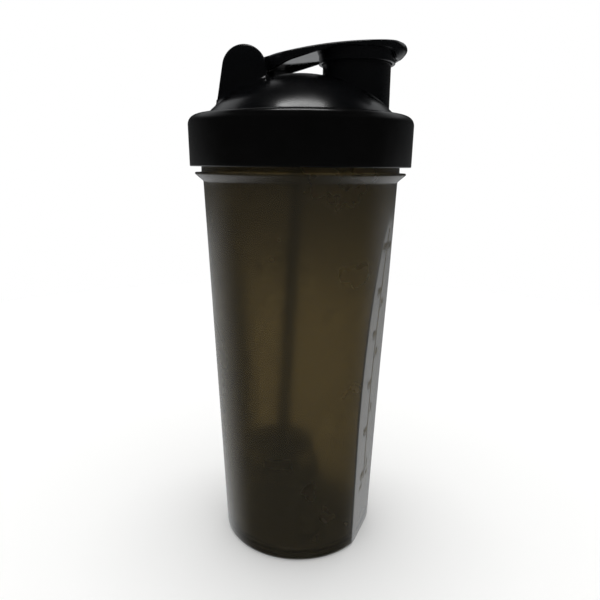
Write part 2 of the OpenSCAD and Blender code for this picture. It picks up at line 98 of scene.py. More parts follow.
def corner_arc(back, ahead, radius, step_deg=15, steps=None):
    """The arc that rounds a corner, as points from the corner. Both directions lead off it."""
    back, ahead = back / np.linalg.norm(back), ahead / np.linalg.norm(ahead)
    opening = math.acos(float(np.clip(back @ ahead, -1, 1)))
    reach = radius / math.tan(opening / 2)
    middle = (back + ahead) / np.linalg.norm(back + ahead) * radius / math.sin(opening / 2)
    start, end = back * reach - middle, ahead * reach - middle
    turn = np.sign(start[0] * end[1] - start[1] * end[0])
    sweep = math.pi - opening
    steps = steps or max(2, math.ceil(math.degrees(sweep) / step_deg))
    arc = []
    for a in (turn * sweep * k / steps for k in range(steps + 1)):
        along = start[0] * math.cos(a) - start[1] * math.sin(a)
        up = start[0] * math.sin(a) + start[1] * math.cos(a)
        arc.append(middle + (along, up))
    return arc


def rounded(corners, step_deg=15):
    """A profile through (across, up, radius) corners, with each one turned to an arc."""
    points = []
    for i, (across, up, radius) in enumerate(corners):
        here = np.array((across, up), float)
        if radius == 0 or i in (0, len(corners) - 1):
            points.append(here)
            continue
        back = np.array(corners[i - 1][:2]) - here
        ahead = np.array(corners[i + 1][:2]) - here
        points += [here + spot for spot in corner_arc(back, ahead, radius, step_deg)]
    return np.array(points)


def divided(profile, step):
    """The same profile with its long straight runs cut into steps."""
    points = [profile[0]]
    for start, end in zip(profile[:-1], profile[1:]):
        count = max(1, math.ceil(np.linalg.norm(end - start) / step))
        points += [start + (end - start) * k / count for k in range(1, count + 1)]
    return np.array(points)


def skin(rings):
    """Points and quads through rings that have as many points each."""
    count = len(rings[0])
    faces = [
        (
            i * count + j,
            i * count + (j + 1) % count,
            (i + 1) * count + (j + 1) % count,
            (i + 1) * count + j,
        )
        for i in range(len(rings) - 1)
        for j in range(count)
    ]
    return np.concatenate(rings), faces


def lathe(profile, segments=192, middle=(0, 0)):
    """A profile of (radius, height) turned round an upright axis."""
    angles = np.linspace(0, 2 * math.pi, segments, endpoint=False)
    return skin(
        [
            np.stack(
                (
                    middle[0] + r * np.cos(angles),
                    middle[1] + r * np.sin(angles),
                    np.full(segments, z),
                ),
                1,
            )
            for r, z in profile
        ]
    )


def joined(*skins):
    """Several skins as one."""
    points, faces, start = [], [], 0
    for skin_points, skin_faces in skins:
        points.append(skin_points)
        faces += [tuple(start + i for i in face) for face in skin_faces]
        start += len(skin_points)
    return np.concatenate(points), faces


def tidy_mesh(mesh, sharp_deg=30):
    """Closes seams and poles, points faces outwards, and shades the soft edges smooth."""
    work = bmesh.new()
    work.from_mesh(mesh)
    bmesh.ops.remove_doubles(work, verts=work.verts, dist=2e-6)
    bmesh.ops.dissolve_degenerate(work, edges=work.edges, dist=1e-6)
    bmesh.ops.recalc_face_normals(work, faces=work.faces)
    work.to_mesh(mesh)
    work.free()
    mesh.shade_smooth()
    mesh.set_sharp_from_angle(angle=math.radians(sharp_deg))


def solid(name, shape, materials, picks=None, sharp_deg=30):
    """An object made of points in millimetres and faces. Picks names each face's material."""
    points, faces = shape
    mesh = bpy.data.meshes.new(name)
    mesh.from_pydata((np.asarray(points, float) * MM).tolist(), [], faces)
    for material in materials:
        mesh.materials.append(material)
    if picks is not None:
        mesh.polygons.foreach_set("material_index", picks)
    tidy_mesh(mesh, sharp_deg)
    piece = bpy.data.objects.new(name, mesh)
    bpy.context.scene.collection.objects.link(piece)
    return piece


def baked(piece, name, sharp_deg=30):
    """A plain mesh of what a piece's modifiers give, in its place."""
    graph = bpy.context.evaluated_depsgraph_get()
    mesh = bpy.data.meshes.new_from_object(piece.evaluated_get(graph))
    bpy.data.objects.remove(piece)
    mesh.name = name
    tidy_mesh(mesh, sharp_deg)
    result = bpy.data.objects.new(name, mesh)
    bpy.context.scene.collection.objects.link(result)
    return result


def cut_away(piece, tool, name, sharp_deg=30):
    """The piece with the tool's space taken out of it."""
    cut = piece.modifiers.new("cut", "BOOLEAN")
    cut.object, cut.operation, cut.solver = tool, "DIFFERENCE", "EXACT"
    result = baked(piece, name, sharp_deg)
    bpy.data.objects.remove(tool)
    return result


def into_one(name, pieces, sharp_deg=30):
    """Pieces at the origin, put together as one object with the first one's materials."""
    work = bmesh.new()
    for piece in pieces:
        work.from_mesh(piece.data)
    mesh = bpy.data.meshes.new(name)
    work.to_mesh(mesh)
    work.free()
    for material in pieces[0].data.materials:
        mesh.materials.append(material)
    for piece in pieces:
        bpy.data.objects.remove(piece)
    mesh.shade_smooth()
    mesh.set_sharp_from_angle(angle=math.radians(sharp_deg))
    result = bpy.data.objects.new(name, mesh)
    bpy.context.scene.collection.objects.link(result)
    return result


# ------------------------------------------------------------------- materials


def linear(value):
    """An sRGB hex colour as linear red, green and blue, with an alpha of 1."""
    parts = [int(value[i : i + 2], 16) / 255 for i in (1, 3, 5)]
    return (
        *(p / 12.92 if p <= 0.04045 else ((p + 0.055) / 1.055) ** 2.4 for p in parts),
        1.0,
    )


def add(tree, kind, inputs=None, **settings):
    """One node with its settings, and its inputs set or linked."""
    node = tree.nodes.new(kind)
    for key, value in settings.items():
        setattr(node, key, value)
    for key, value in (inputs or {}).items():
        if isinstance(value, bpy.types.NodeSocket):
            tree.links.new(value, node.inputs[key])
        else:
            node.inputs[key].default_value = value
    return node


def per_metre(size_mm):
    """The scale that gives a pattern this size on Object coordinates."""
    return 1 / (size_mm * MM)


def moulded(
    name,
    tint,
    tint_far,
    rough,
    rough_far,
    cloud_mm,
    grain_mm,
    grain_depth_mm,
    ior=1.49,
    clear=0.0,
    specular=0.5,
    smoke=0.0,
):
    """A moulded plastic: its colour and gloss drift a little, and a fine grain covers it."""
    material = bpy.data.materials.new(name)
    material.use_nodes = True
    tree = material.node_tree
    tree.nodes.clear()
    place = add(tree, "ShaderNodeTexCoord").outputs["Object"]
    cloud = add(
        tree,
        "ShaderNodeTexNoise",
        {"Vector": place, "Scale": per_metre(cloud_mm), "Detail": 3.0},
    ).outputs["Fac"]
    colour = add(
        tree,
        "ShaderNodeMix",
        {0: cloud, 6: linear(tint), 7: linear(tint_far)},
        data_type="RGBA",
    ).outputs[2]
    gloss = add(
        tree,
        "ShaderNodeMapRange",
        {"Value": cloud, "From Min": 0.3, "From Max": 0.7, "To Min": rough, "To Max": rough_far},
    ).outputs["Result"]
    grain = add(
        tree,
        "ShaderNodeTexNoise",
        {"Vector": place, "Scale": per_metre(grain_mm), "Detail": 2.0, "Roughness": 0.6},
    ).outputs["Fac"]
    relief = add(
        tree,
        "ShaderNodeBump",
        {"Height": grain, "Strength": 1.0, "Distance": grain_depth_mm * MM},
    ).outputs["Normal"]
    surface = add(
        tree,
        "ShaderNodeBsdfPrincipled",
        {
            "Base Color": colour,
            "Roughness": gloss,
            "Normal": relief,
            "IOR": ior,
            "Transmission Weight": clear,
            "Specular IOR Level": specular,
        },
    )
    output = add(tree, "ShaderNodeOutputMaterial", {"Surface": surface.outputs["BSDF"]})
    if smoke:
        # Light that takes a long way through the wall is lost: the sides look darker
        depth = add(
            tree, "ShaderNodeVolumeAbsorption",
            {"Color": linear("#2c2a20"), "Density": smoke},
        )
        tree.links.new(depth.outputs["Volume"], output.inputs["Volume"])
    return material


# Smoke polypropylene with a spark-eroded frost: light comes through it brown and soft,
# and its surface has a cool grey sheen towards the edges. The frost is drawn 0.6 mm wide,
# about four times as coarse as the real one, so that it shows.
frosted_smoke = moulded(
    "frosted_smoke_polypropylene",
    "#a59877", "#9e9170", 0.23, 0.28, 25, 0.6, 0.003, clear=0.96, smoke=170,
)
# The same plastic from a polished part of the mould: the panels mirror the bright room.
polished_smoke = moulded(
    "polished_smoke_polypropylene",
    "#a59877", "#9e9170", 0.16, 0.2, 25, 1.5, 0.002, clear=0.96, smoke=170,
)
# Black polypropylene with a satin polish: broad, soft lights on a nearly black body.
satin_black = moulded(
    "satin_black_polypropylene",
    "#07080a", "#0a0b0c", 0.18, 0.24, 12, 0.9, 0.012,
)
# The cap's under side comes from a polished core: at a low angle it mirrors the room.
polished_black = moulded(
    "polished_black_polypropylene",
    "#090a0b", "#0c0d0e", 0.1, 0.14, 12, 1.5, 0.002, ior=1.75,
)
# The collar is black polypropylene with a fine eroded grain, which breaks its lights up.
grained_black = moulded(
    "grained_black_polypropylene",
    "#050505", "#080808", 0.2, 0.26, 6, 0.9, 0.01,
)
# Silicone rubber, pressed: dull, dark and a little soft to the eye.
dark_silicone = moulded(
    "dark_silicone_rubber",
    "#2a2d30", "#303337", 0.55, 0.65, 8, 0.8, 0.006, ior=1.41,
)
# The mixer is smooth black polypropylene, a little glossier than the lid.
smooth_black = moulded(
    "smooth_black_polypropylene",
    "#0c0c0d", "#101011", 0.3, 0.36, 10, 1.0, 0.004,
)


# ------------------------------------------------------------------------- cup


def panel_distance(z):
    """Distance of a panel's face from the axis: straight, then an arc out of the wall."""
    bend_r = CUP_BASE_R + CUP_SLOPE * PANEL_BEND_Z - PANEL_CUT_HIGH
    slope = (bend_r - PANEL_FOOT_D) / PANEL_BEND_Z
    tip = CUP_BASE_R + CUP_SLOPE * PANEL_TIP_Z - PANEL_FOOT_D - slope * PANEL_TIP_Z
    rise = (PANEL_TIP_Z - PANEL_BEND_Z) ** 2 / (2 * tip)
    return PANEL_FOOT_D + slope * z + max(0.0, z - PANEL_BEND_Z) ** 2 / (2 * rise)


def cup_ring(r, z, inset):
    """One level ring of the cup. Its columns keep to the edges of the two panels."""
    flat = panel_distance(z) - inset if z < CUP_H - 2 else 1e6
    edge = math.acos(flat / r) if flat < r else 0.0
    spread = max(edge, math.radians(2.5))
    soft = 0.3 / max(r, 5)
    across = np.linspace(-1, 1, 17)[1:-1] * (spread - soft)
    half = np.concatenate(
        (
            [-spread - soft, -spread, -spread + soft],
            across[1:-1],
            [spread - soft, spread, spread + soft],
            np.linspace(spread + soft, math.pi - spread - soft, 42)[1:-1],
        )
    )
    inside = np.where(np.abs(half) < math.pi / 2, np.cos(half), 1e-6)
    radius = np.minimum(r, flat / inside)
    radius = np.where(
        (np.abs(np.abs(half) - edge) < 1e-9) & (edge > 0), radius - 0.02, radius
    )
    angles = np.concatenate((half, half + math.pi)) + PANEL_TURN
    radius = np.concatenate((radius, radius))
    on_panel = np.abs(half) < edge - 1e-9
    return (
        np.stack(
            (radius * np.cos(angles), radius * np.sin(angles), np.full(len(angles), z)), 1
        ),
        np.concatenate((on_panel, on_panel)),
    )


def cup_shape():
    """The cup's closed skin, and which faces lie on a panel."""
    floor_r = CUP_BASE_R - CUP_WALL + CUP_SLOPE * CUP_FLOOR
    outside = rounded(
        [
            (0, FOOT_HOLLOW, 0),
            (FOOT_R - 0.6, FOOT_HOLLOW, 0.3),
            (FOOT_R, 0, 0.3),
            (CUP_BASE_R, 0, BASE_ROUND),
            (CUP_TOP_R, CUP_H, 0.8),
            (FLANGE_R, FLANGE_LOW, 0.35),
            (FLANGE_R, FLANGE_Z, 0.35),
            (NECK_R, FLANGE_Z, 0.5),
            (NECK_R, NECK_TOP, 0.8),
            ((NECK_R + NECK_IN_R) / 2, NECK_TOP, 0),
        ]
    )
    inside = rounded(
        [
            ((NECK_R + NECK_IN_R) / 2, NECK_TOP, 0),
            (NECK_IN_R, NECK_TOP, 0.6),
            (NECK_IN_R, FLANGE_Z, 2.0),
            (CUP_TOP_R - CUP_WALL, CUP_H, 2.0),
            (floor_r, CUP_FLOOR, FLOOR_ROUND),
            (0, CUP_FLOOR, 0),
        ]
    )
    outside, inside = divided(outside, 2.5), divided(inside, 4.0)
    rows = [cup_ring(r, z, 0.0) for r, z in outside]
    rows += [cup_ring(r, z, PANEL_WALL) for r, z in inside[1:]]
    points, faces = skin([row[0] for row in rows])
    count = len(rows[0][0])
    picks = []
    for i in range(len(rows) - 1):
        here, above = rows[i][1], rows[i + 1][1]
        for j in range(count):
            k = (j + 1) % count
            shows = i < len(outside) - 1 and (here[j] or here[k]) and (above[j] or above[k])
            picks.append(1 if shows else 0)
    return (points, faces), picks


shape, picks = cup_shape()
cup_wall = solid("cup_wall", shape, [frosted_smoke, polished_smoke], picks, sharp_deg=35)


# The measuring marks
ML_PER_OZ = 29.57
MARK_OUT, MARK_SUNK, MARK_W, MARK_LEN = 0.12, 0.3, 0.4, 4.6
CAPITAL_SHARE = 0.72
LINE_LOW, LINE_HIGH = 30.0, 153.0


def mark_height(ml):
    """The height at which the cup holds this volume."""
    z, left, step = CUP_FLOOR, ml * 1000.0, 2.0
    while left > 0:
        r = CUP_BASE_R - CUP_WALL + CUP_SLOPE * (z + step / 2)
        flat = panel_distance(z + step / 2) - PANEL_WALL
        segment = (
            0 if flat >= r else r * r * math.acos(flat / r) - flat * math.sqrt(r * r - flat * flat)
        )
        left -= (math.pi * r * r - 2 * segment) * step
        z += step
    return z


def onto_panel(points):
    """Points (across, up, out) put on the marked panel's face."""
    out = np.array((math.cos(PANEL_TURN), math.sin(PANEL_TURN), 0))
    across = np.array((-math.sin(PANEL_TURN), math.cos(PANEL_TURN), 0))
    face = np.array([panel_distance(z) for z in points[:, 1]])
    return (
        np.outer(face + points[:, 2], out)
        + np.outer(points[:, 0], across)
        + np.outer(points[:, 1], (0, 0, 1))
    )


def bar(left, right, low, high):
    """A raised line on the panel, as points (across, up, out) and faces."""
    steps = max(1, math.ceil((high - low) / 6))
    rings = []
    for z in np.linspace(low, high, steps + 1):
        rings.append(
            np.array(
                [
                    (left - 0.1, z, -MARK_SUNK),
                    (left, z, MARK_OUT),
                    (right, z, MARK_OUT),
                    (right + 0.1, z, -MARK_SUNK),
                ]
            )
        )
    points, faces = skin(rings)
    last = 4 * steps
    faces += [(0, 1, 2, 3), (last + 3, last + 2, last + 1, last)]
    return onto_panel(points), faces


def numeral(words, middle, low, height, widest):
    """Raised figures on the panel. They get narrower where the panel does."""
    curve = bpy.data.curves.new("figures", "FONT")
    curve.body, curve.align_x, curve.size = words, "CENTER", height / CAPITAL_SHARE
    curve.extrude, curve.resolution_u = MARK_SUNK, 4
    text = bpy.data.objects.new("figures", curve)
    bpy.context.scene.collection.objects.link(text)
    graph = bpy.context.evaluated_depsgraph_get()
    mesh = bpy.data.meshes.new_from_object(text.evaluated_get(graph))
    points = np.array([v.co for v in mesh.vertices], float)
    faces = [tuple(p.vertices) for p in mesh.polygons]
    bpy.data.objects.remove(text)
    bpy.data.meshes.remove(mesh)
    width = np.ptp(points[:, 0])
    points[:, 0] = points[:, 0] * min(1.0, widest / width) + middle
    points[:, 1] += low
    points[:, 2] = np.where(points[:, 2] > 0, MARK_OUT, -MARK_SUNK)
    return onto_panel(points), faces


def half_width(z):
    """Half the width of a panel at this height."""
    r, flat = CUP_BASE_R + CUP_SLOPE * z, panel_distance(z)
    return math.sqrt(max(0.0, r * r - flat * flat))


def mark_shapes():
    """The upright line, and both scales with their figures and units, as one shape."""
    shapes = [bar(-MARK_W / 2, MARK_W / 2, LINE_LOW, LINE_HIGH)]
    scales = [(-1, ml, ml) for ml in range(100, 700, 100)]
    scales += [(1, oz, oz * ML_PER_OZ) for oz in range(4, 24, 4)]
    for side, words, volume in scales:
        z = mark_height(volume)
        ends = sorted((0.0, side * MARK_LEN))
        shapes.append(bar(ends[0], ends[1], z - MARK_W / 2, z + MARK_W / 2))
        room = min(half_width(z + 3.5) - 1.2, MARK_LEN + 1.2)
        if room > 2:
            middle = side * (0.6 + room / 2)
            shapes.append(numeral(str(words), middle, z + 1.0, 3.2, room - 0.4))
    shapes.append(numeral("ml", -4.2, mark_height(100) - 4.6, 2.6, 5))
    shapes.append(numeral("oz", 4.2, mark_height(4 * ML_PER_OZ) - 4.6, 2.6, 5))
    return joined(*shapes)


cup_marks = solid("cup_marks", mark_shapes(), [frosted_smoke], sharp_deg=25)


# ------------------------------------------------------------------ thread ribs


def thread_tree():
    """A rib that climbs round the Z axis, with its root sunk in the wall that carries it."""
    tree = bpy.data.node_groups.new("thread_rib", "GeometryNodeTree")
    sizes = (
        ("Radius", NECK_R * MM), ("Lead", THREAD_LEAD * MM), ("Turns", CUP_THREAD_DEG / 360),
        ("Start Height", CUP_THREAD_LOW * MM), ("Start Turn", 0.0), ("Depth", THREAD_OUT * MM),
        ("Root Width", THREAD_ROOT_W * MM), ("Crest Width", THREAD_CREST_W * MM),
        ("Sunk", THREAD_SUNK * MM),
    )
    for label, value in sizes:
        socket = tree.interface.new_socket(
            name=label, in_out="INPUT", socket_type="NodeSocketFloat"
        )
        socket.default_value = value
    tree.interface.new_socket(name="Finish", in_out="INPUT", socket_type="NodeSocketMaterial")
    tree.interface.new_socket(name="Rib", in_out="OUTPUT", socket_type="NodeSocketGeometry")
    given = add(tree, "NodeGroupInput").outputs
    steps_along, steps_across = 72, 4
    grid = add(
        tree,
        "GeometryNodeMeshGrid",
        {
            "Size X": 1.0, "Size Y": 1.0,
            "Vertices X": steps_along + 1, "Vertices Y": steps_across + 1,
        },
    )
    place = add(
        tree,
        "ShaderNodeSeparateXYZ",
        {"Vector": add(tree, "GeometryNodeInputPosition").outputs[0]},
    )
    # What each sum is called, how it is worked out, and from what. Corners 1 and 2 of the
    # section are on the crest, 0 and 3 at the root, and 4 meets 0. The rib grows out of the
    # wall over the first and last twentieth of its length.
    known = {"x": place.outputs["X"], "y": place.outputs["Y"]}
    known.update({label: given[label] for label, _ in sizes})
    sums = (
        ("along", "ADD", "x", 0.5),
        ("across", "ADD", "y", 0.5),
        ("corner", "MULTIPLY", "across", float(steps_across)),
        ("to end", "SUBTRACT", 1.0, "along"),
        ("nearest end", "MINIMUM", "along", "to end"),
        ("growth", "MULTIPLY", "nearest end", 19.8),
        ("growth held", "MINIMUM", 1.0, "growth"),
        ("grow", "MAXIMUM", 0.1, "growth held"),
        ("past 0", "GREATER_THAN", "corner", 0.5),
        ("before 3", "LESS_THAN", "corner", 2.5),
        ("crest", "MULTIPLY", "past 0", "before 3"),
        ("root", "SUBTRACT", 1.0, "crest"),
        ("past 1", "GREATER_THAN", "corner", 1.5),
        ("before 4", "LESS_THAN", "corner", 3.5),
        ("upper", "MULTIPLY", "past 1", "before 4"),
        ("twice upper", "MULTIPLY", "upper", 2.0),
        ("side", "SUBTRACT", "twice upper", 1.0),
        ("rise", "MULTIPLY", "Depth", "grow"),
        ("crest rise", "MULTIPLY", "crest", "rise"),
        ("root sink", "MULTIPLY", "root", "Sunk"),
        ("out", "SUBTRACT", "crest rise", "root sink"),
        ("crest part", "MULTIPLY", "crest", "Crest Width"),
        ("root part", "MULTIPLY", "root", "Root Width"),
        ("width", "ADD", "crest part", "root part"),
        ("turned", "MULTIPLY", "along", "Turns"),
        ("turned on", "ADD", "turned", "Start Turn"),
        ("angle", "MULTIPLY", "turned on", 2 * math.pi),
        ("radius", "ADD", "Radius", "out"),
        ("climb", "MULTIPLY", "turned", "Lead"),
        ("middle", "ADD", "Start Height", "climb"),
        ("side width", "MULTIPLY", "side", "width"),
        ("off middle", "MULTIPLY", "side width", 0.5),
        ("height", "ADD", "middle", "off middle"),
        ("cosine", "COSINE", "angle", 0.0),
        ("sine", "SINE", "angle", 0.0),
        ("spot x", "MULTIPLY", "radius", "cosine"),
        ("spot y", "MULTIPLY", "radius", "sine"),
    )
    for label, kind, first, second in sums:
        known[label] = add(
            tree,
            "ShaderNodeMath",
            {0: known.get(first, first), 1: known.get(second, second)},
            operation=kind,
        ).outputs[0]
    spot = add(
        tree,
        "ShaderNodeCombineXYZ",
        {"X": known["spot x"], "Y": known["spot y"], "Z": known["height"]},
    )
    moved = add(
        tree,
        "GeometryNodeSetPosition",
        {"Geometry": grid.outputs["Mesh"], "Position": spot.outputs[0]},
    )
    real = add(tree, "GeometryNodeRealizeInstances", {"Geometry": moved.outputs[0]})
    dressed = add(
        tree,
        "GeometryNodeSetMaterial",
        {"Geometry": real.outputs[0], "Material": given["Finish"]},
    )
    add(tree, "NodeGroupOutput", {"Rib": dressed.outputs[0]})
    return tree


def closed_ends(mesh):
    """Fills the open ends of a rib."""
    work = bmesh.new()
    work.from_mesh(mesh)
    bmesh.ops.remove_doubles(work, verts=work.verts, dist=2e-6)
    bmesh.ops.holes_fill(work, edges=[e for e in work.edges if e.is_boundary], sides=8)
    work.to_mesh(mesh)
    work.free()


def thread_rib(name, tree, finish, **sizes):
    """One rib with its sizes, in metres, as a plain mesh."""
    piece = bpy.data.objects.new(name, bpy.data.meshes.new(name))
    bpy.context.scene.collection.objects.link(piece)
    rib = piece.modifiers.new("rib", "NODES")
    rib.node_group = tree
    for socket in tree.interface.items_tree:
        if socket.in_out == "INPUT":
            key = socket.name.replace(" ", "_").lower()
            if socket.name == "Finish":
                rib[socket.identifier] = finish
            elif key in sizes:
                rib[socket.identifier] = float(sizes[key])
    result = baked(piece, name)
    closed_ends(result.data)
    tidy_mesh(result.data)
    return result


rib_rule = thread_tree()
cup_thread = thread_rib(
    "cup_thread", rib_rule, frosted_smoke,
    radius=NECK_R * MM, lead=THREAD_LEAD * MM, turns=CUP_THREAD_DEG / 360,
    start_height=CUP_THREAD_LOW * MM, depth=THREAD_OUT * MM,
)
lid_thread = thread_rib(
    "lid_thread", rib_rule, satin_black,
    radius=COLLAR_IN_R * MM, lead=THREAD_LEAD * MM, turns=LID_THREAD_DEG / 360,
    start_turn=LID_THREAD_LAG / 360,
    start_height=(CUP_THREAD_LOW + THREAD_LEAD * LID_THREAD_LAG / 360 - LID_THREAD_DROP) * MM,
    depth=-THREAD_OUT * MM, sunk=-THREAD_SUNK * MM,
)


# ------------------------------------------------------------------------- lid


def dome_height(x, y, sunk=0.0):
    """Height of the dome's outer face, or of a ball that lies under it."""
    return DOME_MIDDLE + np.sqrt((DOME_BALL_R - sunk) ** 2 - x * x - y * y)


def lid_profile():
    """The lid's wall, from the dome's top over the collar and back inside it."""
    foot = math.asin(DOME_R / DOME_BALL_R)
    inner_r = DOME_BALL_R - DOME_WALL
    inner_foot = math.asin(PLUG_IN_R / inner_r)
    dome = [
        (DOME_BALL_R * math.sin(a), DOME_MIDDLE + DOME_BALL_R * math.cos(a))
        for a in np.linspace(0, foot, 30)
    ]
    collar = rounded(
        [
            (DOME_R, DOME_Z, 0),
            (DOME_R + 0.05, DOME_Z - 0.6, 0.12),
            (DOME_R + 0.55, DOME_Z - 0.6, 0.12),
            (DOME_R + 0.65, DOME_Z, 0.3),
            (COLLAR_R, SHOULDER_Z, 3.9),
            (COLLAR_R - 0.3, COLLAR_LOW, 0.5),
            (COLLAR_IN_R, COLLAR_LOW, 0.5),
            (COLLAR_IN_R, ROOF_Z, 0.8),
            (PLUG_R, ROOF_Z, 0.4),
            (PLUG_R, PLUG_LOW, 0.5),
            (PLUG_IN_R, PLUG_LOW, 0.5),
            (PLUG_IN_R, DOME_MIDDLE + inner_r * math.cos(inner_foot), 0),
        ],
        step_deg=10,
    )
    under = [
        (inner_r * math.sin(a), DOME_MIDDLE + inner_r * math.cos(a))
        for a in np.linspace(inner_foot, 0, 24)
    ]
    return np.array(dome[:-1] + [tuple(p) for p in collar] + under[1:])


def fillet(path, outward, radii, leans, close):
    """A closed strip that rounds the corner between the dome and a wall that stands on it."""
    rings = []
    step, sunk = 0.5, 0.9
    for (x, y), out, radius, lean in zip(path, outward, radii, leans):
        z = float(dome_height(x, y))
        fall = float(dome_height(x + out[0] * step, y + out[1] * step)) - z
        wall = np.array((-math.sin(lean), math.cos(lean)))
        arc = corner_arc(wall, np.array((step, fall)), radius, steps=8)
        section = [*arc, arc[-1] - (0, sunk), np.array((-sunk, -sunk)), arc[0] - (sunk, 0)]
        rings.append(
            np.array([(x + out[0] * s, y + out[1] * s, z + t) for s, t in section])
        )
    if close:
        rings.append(rings[0])
    points, faces = skin(rings)
    if not close:
        count = len(rings[0])
        last = len(points) - count
        faces += [tuple(range(count))[::-1], tuple(range(last, last + count))]
    return points, faces


def spout_shape():
    """The spout's tube with a rounded rim. Its foot follows the dome, inside its wall."""
    segments = 144
    # A hair narrower than the hole cut in the dome, so that the two walls don't coincide
    bore_r = SPOUT_IN_R - 0.04
    angles = np.linspace(0, 2 * math.pi, segments, endpoint=False)
    rim = rounded(
        [
            (SPOUT_R, 0, 0),
            (SPOUT_R, SPOUT_TOP, 0.7),
            (bore_r, SPOUT_TOP, 0.7),
            (bore_r, 0, 0),
        ]
    )
    rings = []
    for i, (r, z) in enumerate(rim):
        x, y = SPOUT_X + r * np.cos(angles), r * np.sin(angles)
        foot = dome_height(x, y, SPOUT_SUNK)
        height = foot if i in (0, len(rim) - 1) else np.full(segments, z)
        rings.append(np.stack((x, y, height), 1))
    rings.append(rings[0])
    path = [(SPOUT_X + SPOUT_R * math.cos(a), SPOUT_R * math.sin(a)) for a in angles]
    outward = [(math.cos(a), math.sin(a)) for a in angles]
    foot_fillet = fillet(path, outward, [1.0] * segments, [0.0] * segments, True)
    return joined(skin(rings), foot_fillet)


def ear_outline(inset, y):
    """The side view of an ear as (x, z): up the back, over the top and down the front."""
    r = EAR_R - inset
    lean = EAR_LEAN
    points = []
    start = np.array((HINGE_X - r * math.cos(lean), EAR_Z + r * math.sin(lean)))
    down = np.array((-math.sin(lean), -math.cos(lean)))
    run = EAR_BACK_LEN
    while run > 0.6:
        p = start + down * run
        ground = float(dome_height(p[0], y, EAR_SUNK))
        points.append((p[0], max(p[1], ground)))
        run -= 1.1
    for a in np.linspace(math.pi - lean, 0.0, 44):
        points.append((HINGE_X + r * math.cos(a), EAR_Z + r * math.sin(a)))
    edge = HINGE_X + r
    ground = float(dome_height(edge, y, EAR_SUNK))
    for z in np.linspace(EAR_Z, min(ground, EAR_Z - 0.5), 5)[1:]:
        points.append((edge, z))
    # The foot lies in the dome's wall
    back = points[0][0]
    for x in np.linspace(edge, back, 24)[1:-1]:
        points.append((x, float(dome_height(x, y, EAR_SUNK))))
    return np.array(points)


def ear_shape(side):
    """An ear with a soft outer rim, and the fillet that joins it to the dome."""
    soft, crisp = 1.5, 0.5
    levels = [(crisp, EAR_IN_Y)]
    levels += [
        (crisp * (1 - math.sin(a)), EAR_IN_Y + crisp * (1 - math.cos(a)))
        for a in np.radians((30, 60, 90))
    ]
    levels += [
        (soft * (1 - math.cos(a)), EAR_IN_Y + EAR_T - soft * (1 - math.sin(a)))
        for a in np.radians((0, 15, 30, 45, 60, 75, 90))
    ]
    rings = []
    for inset, y in levels:
        outline = ear_outline(inset, y)
        rings.append(
            np.stack((outline[:, 0], np.full(len(outline), side * y), outline[:, 1]), 1)
        )
    # The inner face has the stud's blind bore, and the outer face is slightly crowned
    middle = np.array((HINGE_X, 0, HINGE_Z))
    spokes = (rings[0] - middle) * (1, 0, 1)
    spokes /= np.linalg.norm(spokes, axis=1)[:, None]
    mouth, floor_y = np.array((0, side * EAR_IN_Y, 0)), np.array((0, side * STUD_LEN, 0))
    faces_in = [
        middle + mouth + floor_y + spokes * 0,
        middle + mouth + floor_y + spokes * SOCKET_BORE_R,
        middle + mouth + spokes * SOCKET_BORE_R,
        (middle + mouth + spokes * SOCKET_BORE_R) * 0.4 + rings[0] * 0.6,
    ]
    centre = middle + np.array((0, rings[-1][0][1], 0))
    crown = [(0.8, 0.14), (0.6, 0.26), (0.35, 0.36), (0.15, 0.4), (0.0, 0.42)]
    faces_out = [
        centre + (rings[-1] - centre) * k + np.array((0, side * bulge, 0))
        for k, bulge in crown
    ]
    body = skin(faces_in + rings + faces_out)

    # Foot: round the back edge, along the outer face and round the front edge
    outer = EAR_IN_Y + EAR_T
    turn_r = 2.0
    lean = math.tan(EAR_LEAN)

    def back_at(y):
        """Where the back edge meets the dome."""
        x = HINGE_X - EAR_R
        for _ in range(20):
            x = HINGE_X - EAR_R * math.cos(EAR_LEAN) - lean * (
                EAR_Z + EAR_R * math.sin(EAR_LEAN) - float(dome_height(x, y))
            )
        return x

    front = HINGE_X + EAR_R
    path, outward, radii, leans = [], [], [], []

    def put(x, y, nx, ny, radius, lean_here):
        """One spot of the foot, with the way out of the ear there."""
        path.append((x, side * y))
        outward.append((nx, side * ny))
        radii.append(radius)
        leans.append(lean_here)

    small, wide, narrow = 2.2, 4.2, 1.2
    for y in np.linspace(EAR_IN_Y + 0.2, outer - turn_r, 5):
        put(back_at(y), y, -1.0, 0.0, small, -EAR_LEAN)
    for a in np.radians((15, 30, 45, 60, 75)):
        y = outer - turn_r + turn_r * math.sin(a)
        share = math.degrees(a) / 90
        put(
            back_at(y) + turn_r * (1 - math.cos(a)), y, -math.cos(a), math.sin(a),
            small + (wide - small) * share, -EAR_LEAN * (1 - share),
        )
    for x in np.linspace(back_at(outer) + turn_r, front - turn_r, 16):
        put(x, outer, 0.0, 1.0, wide, 0.0)
    for a in np.radians((15, 30, 45, 60, 75)):
        share = math.degrees(a) / 90
        put(
            front - turn_r * (1 - math.sin(a)), outer - turn_r + turn_r * math.cos(a),
            math.sin(a), math.cos(a), wide + (narrow - wide) * share, 0.0,
        )
    for y in np.linspace(outer - turn_r, EAR_IN_Y + 0.2, 5):
        put(front, y, 1.0, 0.0, narrow, 0.0)
    return body, fillet(path, outward, radii, leans, False)


